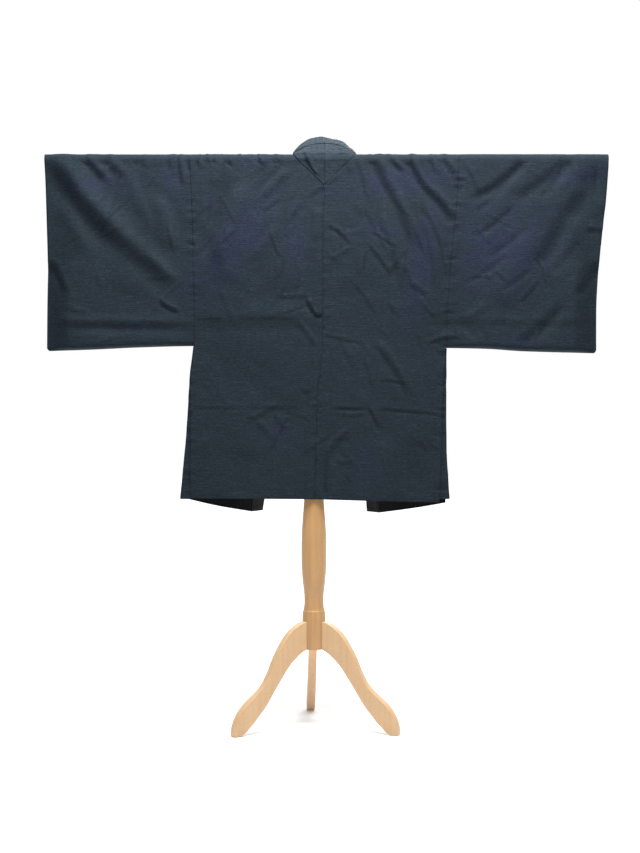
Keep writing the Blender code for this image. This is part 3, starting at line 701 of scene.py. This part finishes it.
def makeNeck(name, side):
    top = tops[side]
    share = joined([0, 0.015, 0.04], np.linspace(0.08, 1, 21))[:, None]
    rows = []
    for u in share[:, 0]:
        x = mix(neck["apexX"] + side * cloth["seamGap"] / 2, top - side * 0.6, u)
        low = mix(neck["apexZ"], neck["topZ"], (x - neck["apexX"]) / (top - neck["apexX"])) - 0.3
        rows.append(neckPath(float(x), float(low)))
    x, y, z, outY, outZ = np.moveaxis(np.array(rows), 2, 0)
    up = np.linspace(0, 1, neck["rows"])
    fromCentre, fromV = share * neck["half"] + 0 * up, up * neck["length"]
    over = ease((z - rodZ - 8) / 12)
    layers = uneven(x * 0.35, z * 2.6 + 0.5 * x, 13, 77) + 0.6 * uneven(x * 0.6, z * 2.6, 8, 79)
    height = creased(neckCreases, x, z) + 0.5 * uneven(x, z, 14, 77) + 0.3 * uneven(x, z, 7, 78)
    height = height + 2.0 * layers * over
    height = np.maximum(height, -0.5) * ease(up / 0.12) * ease((1 - up) / 0.08)
    height = height + rolledEdge(fromCentre, 1.1) + relief(x, z) * (1 - over)
    # the V's seam is a ridge on the left and a groove on the right
    height = height + (0.9 * bell((fromV - 2.6) / 2.0) * 1.8 if side > 0 else -0.9 * bell(fromV / 2.2))
    points = np.stack([x, y + height * outY, z + height * outZ], 2)
    # painted shade along the seams, deepest in the V's groove on the right
    seam = np.clip(seamShadeLine(fromCentre) + (0.2 if side > 0 else 0.9) * bell(fromV / 3), 0, 1)
    return sheetMesh(name, points, cutMap(x, z, (0.37 * side + 0.11, 0.05)), seam, facing=(0, 1, 0))


bandRows = {
    # station: 0 hem, 1 the rod's front, 2 the shoulder, 3 half way round the neck, 4 centre back
    # values: the band's half up to its fold, then down to its free edge
    1: {
        0: (-13, -27, 0, -12, -26, 0), 0.45: (-20, -22, 0, -18, -22, 0),
        0.8: (-21, -20, 3, -20, -18, -2), 1: (-17, -17, 9, -17, -20, 0),
        1.7: (0, -13, 6, -14, -21, -2), 2: (-4, -13, 9, -10, -23, -5),
        2.35: (-11, -17, 19, -7, -22, -9), 2.6: (-12, -19, 21.5, -5, -21, -13),
        3: (-8, -23, 22, -3, -20, -16), 3.5: (-4, -25, 21, 0, -18, -18),
        4: (0, -26, 18, 0, -17, -18),
    },
    -1: {
        0: (14, -26, 0, 13, -25, 0), 0.45: (19, -23, 0, 18, -22, 0),
        0.8: (20, -21, 3, 20, -18, -2), 1: (17, -20, 7, 16, -20, -2),
        2: (6, -25, 11.7, 8, -22, -8), 2.5: (3.5, -28, 11.3, 4, -20, -13),
        3: (-1, -30, 14.7, 2, -19, -16), 3.5: (0, -28, 16, 1, -18, -17),
        4: (0, -26, 18, 0, -17, -18),
    },
}
collar = dict(
    width=58.0,
    thick=2.2,  # the folded band
    turns=np.linspace(170, 102, 8),  # degrees round the rod, where the front's edge passes over it
    frontRows=150,
    away=0.4,  # the band starts inside the front's edge by this much
    neckShares=joined([0.012, 0.03, 0.055, 0.09, 0.14, 0.2], np.linspace(0.26, 1, 14)),
)


def collarSection(side, seam, station, across):
    # points across the band at one station of its seam
    rows = bandRows[side]
    b = [float(along([(s, row[k]) for s, row in rows.items()], station)) for k in range(6)]
    seam = np.array(seam, float)
    mid = seam + b[:3]
    end = mid + b[3:]
    lift = 2.5 * float(ease(station - 0.5))
    quarter, late = (seam + mid) / 2 + (0, -0.12 * lift, 0.4 * lift), (mid + end) / 2 + (0, -0.3 * lift, lift)
    knots = [(k / 4, p) for k, p in enumerate((seam, quarter, mid, late, end))]
    return np.stack([along([(s, p[n]) for s, p in knots], across) for n in range(3)], 1)


def makeCollar(name):
    across = joined([0, 0.02, 0.05], np.linspace(0.1, 0.9, 15), [0.95, 0.98, 1])
    sections = []
    for side in (1, -1):
        opening = lines[side]["opening"]
        lowest = float(along(lines[side]["frontHem"], along(opening, 500)))
        away = side * collar["away"]
        seam = []  # the points that the band is sewn along, and their stations
        for t in np.linspace(0, 1, collar["frontRows"]):
            z = mix(lowest, rodZ - 2, t)
            x = along(opening, z)
            seam.append((x - away, frontY(x, z, side) - 0.2 * t - 0.7, z, t))
        for turn in collar["turns"]:
            y, z = wrap * math.cos(math.radians(turn)), rodZ + wrap * math.sin(math.radians(turn))
            seam.append((along(opening, z) - away, y - 0.8, z + 0.8, 1 + (180 - turn) / 78))
        for share in collar["neckShares"] if side > 0 else collar["neckShares"][:-1]:
            x = mix(tops[side], (tops[1] + tops[-1]) / 2, share)
            y, z = collarSeam(x)
            # the band's edge is sewn over the last of the neck cloth
            leave = neckLeaves(x)[0]
            y += neck["lap"] * math.sin(leave) + neck["over"] * math.cos(leave)
            z += neck["over"] * math.sin(leave) - neck["lap"] * math.cos(leave)
            seam.append((x, y, z, 2 + 2 * share**0.8))
        half = [collarSection(side, point[:3], point[3], across) for point in seam]
        sections += half if side > 0 else half[::-1]
    points = np.array(sections)
    middle = points[:, len(across) // 2]
    run = joined([0], np.cumsum(np.linalg.norm(np.diff(middle, axis=0), axis=1)))[:, None]
    # outward direction from the grid itself, for the small wrinkles of the folded band
    normal = np.cross(np.gradient(points, axis=0), np.gradient(points, axis=1))
    normal /= np.linalg.norm(normal, axis=2, keepdims=True)
    width = across * collar["width"] + 0 * run
    lengthways = run + 0 * width
    height = 0.7 * uneven(lengthways, width, 26, 81) + 0.35 * uneven(lengthways, width, 10, 82)
    neckNear = bell((run - run[len(run) // 2]) / 90)
    height = height + neckNear * 0.8 * uneven(lengthways, width * 0.5, 12, 83)
    points = points + normal * (height * ease(width / 8))[:, :, None]
    uv = cutMap(width, run, (2.6, 0))
    # a faint painted shade along the band's seam
    return sheetMesh(name, points, uv, 0.25 * seamShadeLine(width), facing=(0, -1, 0), thick=collar["thick"])


print("cutting and hanging the cloth")
pieces = {}
for kind, make in (("body", makeBody), ("sleeve", makeSleeve), ("gusset", makeGusset), ("neck", makeNeck)):
    pieces[kind + "_left"] = make(kind + "Left", 1)
    pieces[kind + "_right"] = make(kind + "Right", -1)
pieces["collar"] = makeCollar("collarBand")
cuts = {
    # width, length and flat area of each cut, m and m2
    "body_left": (0.32, 1.69, 0.43),
    "body_right": (0.30, 1.69, 0.43),
    "sleeve_left": (0.355, 0.965, 0.34),
    "sleeve_right": (0.36, 0.965, 0.345),
    "gusset_left": (0.06, 0.366, 0.0145),
    "gusset_right": (0.055, 0.362, 0.0142),
    "neck_left": (0.078, 0.135, 0.0061),
    "neck_right": (0.078, 0.135, 0.0058),
    "collar": (0.06, 1.95, 0.112),
}

# stand: turned post, dowel crossbar and three cabriole legs in beech


def active(name):
    piece = bpy.context.active_object
    piece.name = name
    piece.data.name = name
    return piece


def deselect():
    bpy.ops.object.select_all(action="DESELECT")


post = dict(
    sides=96,
    rings=110,
    plain=550.0,  # above this the post is a long even taper, and needs few rings
    # height and diameter
    turned=(
        (187.5, 55), (190, 56.2), (220, 56.6), (252, 56.4), (262, 56), (274, 54), (277.6, 53.4),
        (278.4, 52), (279.5, 50.6), (286, 48), (300, 46.4), (313, 47), (328, 49.4), (340, 52.4),
        (352, 55), (364, 57), (384, 59), (406, 59.7), (432, 59.5), (459, 58.4), (490, 54.8),
        (518, 50.2), (545, 46.6), (600, 42), (720, 37), (950, 32), (1250, 26.5), (1334, 26),
    ),
)


def makePost():
    turned, plain = post["turned"], post["plain"]
    foot, top = turned[0][0], turned[-1][0]
    fine = np.unique(joined([z for z, _ in turned], np.linspace(foot, plain, post["rings"])))
    heights = joined(fine[fine <= plain], np.linspace(plain + 30, top, 14))
    deselect()
    before, wide = heights[0], float(along(turned, heights[0]) / 2)
    axis = (axisX * mm, axisY * mm)
    bpy.ops.mesh.primitive_circle_add(
        vertices=post["sides"], radius=wide * mm, fill_type="NGON", location=(*axis, before * mm)
    )
    piece = active("turnedPost")
    bpy.ops.object.mode_set(mode="EDIT")
    bpy.ops.mesh.select_all(action="SELECT")
    for z in heights[1:]:
        radius = float(along(turned, z)) / 2
        share = radius / wide
        bpy.ops.mesh.extrude_region_move(TRANSFORM_OT_translate={"value": (0, 0, (z - before) * mm)})
        bpy.ops.transform.resize(value=(share, share, 1), center_override=(*axis, z * mm))
        before, wide = z, radius
    turnOutwards()
    bpy.ops.object.transform_apply(location=True, rotation=True, scale=True)
    smooth(35)
    return piece


def makeCrossbar():
    deselect()
    bpy.ops.mesh.primitive_cylinder_add(
        vertices=64, radius=rod["radius"] * mm, depth=2 * rod["halfLength"] * mm, end_fill_type="NGON",
        location=(0, axisY * mm, rodZ * mm), rotation=(0, math.radians(90), 0),
    )
    piece = active("crossbarDowel")
    bpy.ops.object.transform_apply(location=True, rotation=True, scale=True)
    modify(piece, "BEVEL", width=rod["rounding"] * mm, segments=3, limit_method="ANGLE")
    smooth(35)
    return piece


leg = dict(
    thick=20.0, rounding=2.6, hub=28.4,
    headings={"leg_1": 60.0, "leg_2": -60.0, "leg_3": 180.0}, turned=-2.5,
    # distance from the post's axis and height, round the outline
    top=(
        (20, 255), (34, 253), (50, 246), (70, 232), (90, 208), (111, 173), (127, 138), (143, 112), (158, 97),
        (173, 85), (190, 71), (205, 55), (216, 37), (222, 20), (223.5, 6),
    ),
    foot=((222, 0.0), (208, 0.0)),
    under=(
        (206, 1.5), (196, 5), (182, 16), (168, 29), (156, 43), (143, 57), (130, 74), (118, 91), (107, 107),
        (95, 123), (84, 138), (72, 153), (57, 167), (40, 180), (20, 190),
    ),
)


def smoothRun(outline, count):
    # the outline's points joined by a smooth line, at even steps along it
    points = np.array(outline, float)
    run = joined([0], np.cumsum(np.linalg.norm(np.diff(points, axis=0), axis=1)))
    at = np.linspace(0, run[-1], count)
    return np.stack([along(list(zip(run, points[:, n])), at) for n in range(2)], 1)


def makeLeg(name, heading):
    edge = joined(smoothRun(leg["top"], 64), leg["foot"], smoothRun(leg["under"], 56))
    flat = bpy.data.curves.new(name, "CURVE")
    flat.dimensions = "2D"
    flat.fill_mode = "BOTH"
    flat.extrude = (leg["thick"] / 2 - leg["rounding"]) * mm
    flat.bevel_depth = leg["rounding"] * mm
    flat.bevel_resolution = 3
    flat.offset = -leg["rounding"] * mm
    spline = flat.splines.new("POLY")
    spline.points.add(len(edge) - 1)
    for point, (r, z) in zip(spline.points, edge):
        point.co = (r * mm, z * mm, 0, 1)
    spline.use_cyclic_u = True
    piece = newObject(name, flat)
    selectOnly(piece)
    bpy.ops.object.convert(target="MESH")
    piece = active(name)
    # stand the flat board up, turn it to its heading and set it against the hub
    piece.rotation_euler = (math.radians(90), 0, math.radians(90 - heading - leg["turned"]))
    piece.location = (axisX * mm, axisY * mm, 0)
    bpy.ops.object.transform_apply(location=True, rotation=True, scale=True)
    turnOutwards(weld=0.00002)
    deselect()
    bpy.ops.mesh.primitive_cylinder_add(
        vertices=96, radius=leg["hub"] * mm, depth=0.4, location=(axisX * mm, axisY * mm, 0.2)
    )
    hub = bpy.context.active_object
    selectOnly(piece)
    modify(piece, "BOOLEAN", operation="DIFFERENCE", solver="EXACT", object=hub)
    bpy.data.objects.remove(hub)
    smooth(30)
    return piece


print("turning the stand")
pieces["post"] = makePost()
pieces["crossbar"] = makeCrossbar()
for cadNode, heading in leg["headings"].items():
    pieces[cadNode] = makeLeg("cabrioleLeg" + cadNode[-1], heading)

# materials


def linear(hexColour):
    # sRGB hex to the linear colour that a shader takes
    parts = [int(hexColour[n : n + 2], 16) / 255 for n in (1, 3, 5)]
    return tuple(c / 12.92 if c <= 0.04045 else ((c + 0.055) / 1.055) ** 2.4 for c in parts) + (1.0,)


def newMaterial(name):
    material = bpy.data.materials.new(name)
    material.use_nodes = True
    return material, material.node_tree, material.node_tree.nodes["Principled BSDF"]


def node(tree, kind, inputs=(), **settings):
    # adds a node, or fills in one that is there; an input takes a value, a socket or a node's first output
    made = tree.nodes.new("ShaderNode" + kind) if isinstance(kind, str) else kind
    for key, value in settings.items():
        if hasattr(made, key):
            setattr(made, key, value)
        else:
            made.inputs[key.replace("_", " ")].default_value = value
    for key, value in inputs:
        if isinstance(value, bpy.types.Node):
            value = value.outputs[0]
        if isinstance(value, bpy.types.NodeSocket):
            tree.links.new(made.inputs[key], value)
        else:
            made.inputs[key].default_value = value
    return made


dye = dict(
    greenGrey="#18222a", navy="#1c2335", slubLight="#2d3942", slubDark="#0c151c",
    rib=0.0045,  # real weft ribs are about 1 mm apart; drawn coarser so that they show
    ribLength=0.016, slubLength=0.04, slubThick=0.003, fleck=0.0022,
    # painted top light: how much lighter the cloth over the rod is made, in red, green and blue
    topLight=(2.0, 1.7, 1.55),
    seamShade=0.78, fold=0.76,  # what is left of the light along a seam and in a sharp fold
)
# painted shade: the wrong side, whose faces lie in shadow, gets a near-black copy of the same cloth, with no
# painted top light
shadedWrongSide = dict(
    greenGrey="#0b0c0f", navy="#0c0c11", slubLight="#131419", slubDark="#070709", topLight=(1, 1, 1),
)


def cottonMaterial(name, dye):
    # plain-weave cotton dyed in the yarn: matt, with slubs along the weft and a green and violet cast
    material, tree, shader = newMaterial(name)
    cut = node(tree, "UVMap", uv_map="cut")

    def thread(length, thick, **settings):
        space = node(tree, "Mapping", [("Vector", cut)], Scale=(1 / length, 1 / thick, 1))
        return node(tree, "TexNoise", [("Vector", space)], **settings)

    def painted(label):
        return node(tree, "Attribute", attribute_name=label).outputs["Fac"]

    slub = thread(dye["slubLength"], dye["slubThick"], Scale=1.0, Detail=2.0, Roughness=0.6)
    rib = thread(dye["ribLength"], dye["rib"], Scale=2.0, Detail=1.0, Roughness=0.5)
    fleck = thread(dye["fleck"], dye["fleck"], Scale=1.0, Detail=1.0, Roughness=0.5)
    colours = [("Factor", painted("violetCast")), (6, linear(dye["greenGrey"])), (7, linear(dye["navy"]))]
    base = node(tree, "Mix", colours, data_type="RGBA").outputs[2]
    lightSlub = node(tree, "MapRange", [("Value", slub)], From_Min=0.54, From_Max=0.72, To_Max=0.32)
    darkSlub = node(tree, "MapRange", [("Value", slub)], From_Min=0.46, From_Max=0.28, To_Max=0.4)
    for share, colour in ((lightSlub, "slubLight"), (darkSlub, "slubDark")):
        mixed = [("Factor", share), (6, base), (7, linear(dye[colour]))]
        base = node(tree, "Mix", mixed, data_type="RGBA").outputs[2]
    grain = node(tree, "Math", [(0, rib), (1, fleck)], operation="ADD")
    ribTone = node(tree, "MapRange", [("Value", grain)], From_Min=0.7, From_Max=1.3, To_Min=0.55, To_Max=1.45)
    toned = node(tree, "VectorMath", [(0, base), (1, ribTone)], operation="MULTIPLY")
    # painted light: the cloth over the rod, which faces up to the lamp, is made lighter and greyer
    topLightMix = [("Factor", painted("paintedTopLight")), (4, (1, 1, 1)), (5, dye["topLight"])]
    topLight = node(tree, "Mix", topLightMix, data_type="VECTOR").outputs[1]
    topLit = node(tree, "VectorMath", [(0, toned), (1, topLight)], operation="MULTIPLY")
    # painted shade: the cloth is darkened along its seams and in sharp creases, where shade falls
    seam, hollow = painted("paintedSeamShade"), painted("paintedFoldShade")
    seamShaded = node(tree, "MapRange", [("Value", seam)], From_Min=0.1, To_Min=1.0, To_Max=dye["seamShade"])
    # painted shade in sharp creases
    shade = node(tree, "MapRange", [("Value", hollow)], To_Min=1.0, To_Max=dye["fold"])
    darkest = node(tree, "Math", [(0, seamShaded), (1, shade)], operation="MULTIPLY")
    final = node(tree, "VectorMath", [(0, topLit), (1, darkest)], operation="MULTIPLY")
    fibre = node(tree, "Math", [(0, rib), (1, slub)], operation="ADD")
    bump = node(tree, "Bump", [("Height", fibre)], Strength=0.5, Distance=0.0009)
    node(
        tree, shader, [("Base Color", final), ("Normal", bump)], Roughness=0.86, Specular_IOR_Level=0.16,
        Sheen_Weight=0.05, Sheen_Roughness=0.45, Sheen_Tint=linear("#9fb0c0"),
    )
    return material


beech = dict(
    turned=dict(light="#b38c5d", warm="#a98052"),
    sawn=dict(light="#c4a27c", warm="#bf9c74"),  # the legs are given a paler tan than the turned post
    grain=0.009, grainLength=0.22,
    fleck="#84562e", fleckWidth=0.0009, fleckLength=0.0035,
)


def beechMaterial(name, alongAxis, cut):
    # steamed beech, turned or sawn, clear-lacquered: even tan, with short dark flecks along the grain
    material, tree, shader = newMaterial(name)
    place = node(tree, "TexCoord").outputs["Object"]

    def figure(across, length, **settings):
        scale = tuple(1 / (length if n == alongAxis else across) for n in range(3))
        space = node(tree, "Mapping", [("Vector", place)], Scale=scale)
        return node(tree, "TexNoise", [("Vector", space)], Scale=1.0, **settings)

    band = figure(beech["grain"], beech["grainLength"], Detail=3.0, Roughness=0.55, Distortion=0.3)
    tone = node(tree, "MapRange", [("Value", band)], From_Min=0.34, From_Max=0.68)
    tans = [("Factor", tone), (6, linear(beech[cut]["light"])), (7, linear(beech[cut]["warm"]))]
    base = node(tree, "Mix", tans, data_type="RGBA").outputs[2]
    fleck = figure(beech["fleckWidth"], beech["fleckLength"], Detail=1.0)
    fleckMask = node(tree, "MapRange", [("Value", fleck)], From_Min=0.62, From_Max=0.74, To_Max=0.45)
    flecks = [("Factor", fleckMask), (6, base), (7, linear(beech["fleck"]))]
    flecked = node(tree, "Mix", flecks, data_type="RGBA").outputs[2]
    rough = node(tree, "MapRange", [("Value", band)], To_Min=0.38, To_Max=0.5)
    bump = node(tree, "Bump", [("Height", band)], Strength=0.12, Distance=0.0006)
    finish = [("Base Color", flecked), ("Roughness", rough), ("Normal", bump)]
    node(tree, shader, finish, Coat_Weight=0.15, Coat_Roughness=0.3)
    return material


print("dyeing and finishing")
cotton = cottonMaterial("indigoSlateCotton", dye)
inside = cottonMaterial("indigoSlateCottonShadedWrongSide", dict(dye, **shadedWrongSide))
beechUpright = beechMaterial("lacqueredBeechTurned", 2, "turned")
beechAcross = beechMaterial("lacqueredBeechDowel", 0, "turned")
beechSawn = beechMaterial("lacqueredBeechSawn", 2, "sawn")
woods = dict(post=beechUpright, crossbar=beechAcross, leg_1=beechSawn, leg_2=beechSawn, leg_3=beechSawn)

for nodeName, piece in pieces.items():
    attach(piece, "root")
    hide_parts(nodeName)
    if nodeName in cuts:
        piece.data.materials[0] = cotton
        # painted shade: the wrong side gets the near-black copy of the cotton
        piece.data.materials[1] = inside
    else:
        piece.data.materials.clear()
        piece.data.materials.append(woods[nodeName])

# studio: pale floor, white surround, one large soft light high in front of the back, a weak fill

studio = dict(
    floor="#f4f4f4", floorGlow=0.1, floorFar=0.95,
    behind=1.0, around=0.26,
    # name, place, what it points at, size in metres, power
    lamps=(
        ("keyLight", (-0.08, 0.74, 2.66), (0, 0.05, 1.0), 1.1, 112.0),
        ("farLight", (-0.5, -2.3, 3.0), (0, -0.1, 0.9), 1.6, 70.0),
    ),
)
white = (1, 1, 1, 1)


def makeFloor():
    deselect()
    bpy.ops.mesh.primitive_plane_add(size=30, location=(0, 0, 0))
    floor = active("studioFloor")
    paint, tree, shader = newMaterial("mattWhiteFloor")
    # the floor behind the stand is lit up to the wall's white
    place = node(tree, "TexCoord").outputs["Object"]
    depth = node(tree, "SeparateXYZ", [("Vector", place)]).outputs["Y"]
    glow = dict(From_Min=-0.1, From_Max=-1.2, To_Min=studio["floorGlow"], To_Max=studio["floorFar"])
    lit = node(tree, "MapRange", [("Value", depth)], **glow)
    looks = [("Base Color", linear(studio["floor"])), ("Emission Color", white), ("Emission Strength", lit)]
    node(tree, shader, looks, Roughness=0.9)
    floor.data.materials.append(paint)


def makeSurround():
    # a lit white wall behind the stand, and a dimmer room elsewhere, so that the folds keep their shade
    world = bpy.data.worlds.new("studioSurround")
    world.use_nodes = True
    tree = world.node_tree
    direction = node(tree, "TexCoord").outputs["Generated"]
    toWall = node(tree, "SeparateXYZ", [("Vector", direction)]).outputs["Y"]
    glow = dict(From_Min=-0.45, From_Max=-0.85, To_Min=studio["around"], To_Max=studio["behind"])
    strength = node(tree, "MapRange", [("Value", toWall)], **glow)
    node(tree, tree.nodes["Background"], [("Strength", strength), ("Color", white)])
    bpy.context.scene.world = world


def makeLamps():
    for name, where, aim, size, power in studio["lamps"]:
        light = bpy.data.lights.new(name, "AREA")
        light.shape = "SQUARE"
        light.size = size
        light.energy = power
        lamp = newObject(name, light)
        lamp.location = where
        x, y, z = [a - b for a, b in zip(aim, where)]
        lamp.rotation_euler = (math.atan2(math.hypot(x, y), -z), 0, math.atan2(y, x) - math.radians(90))


view = dict(distance=3.686, side=0.0155, height=0.745, tilt=0.43, lens=65.25)


def makeCamera():
    lens = bpy.data.cameras.new("backView")
    lens.lens = view["lens"]
    lens.sensor_width = 36
    camera = newObject("backView", lens)
    camera.location = (view["side"], axisY * mm + view["distance"], view["height"])
    camera.rotation_euler = (math.radians(90 - view["tilt"]), 0, math.radians(180))
    bpy.context.scene.camera = camera


print("lighting")
makeFloor()
makeSurround()
makeLamps()
makeCamera()
bpy.context.scene.view_settings.view_transform = "Standard"
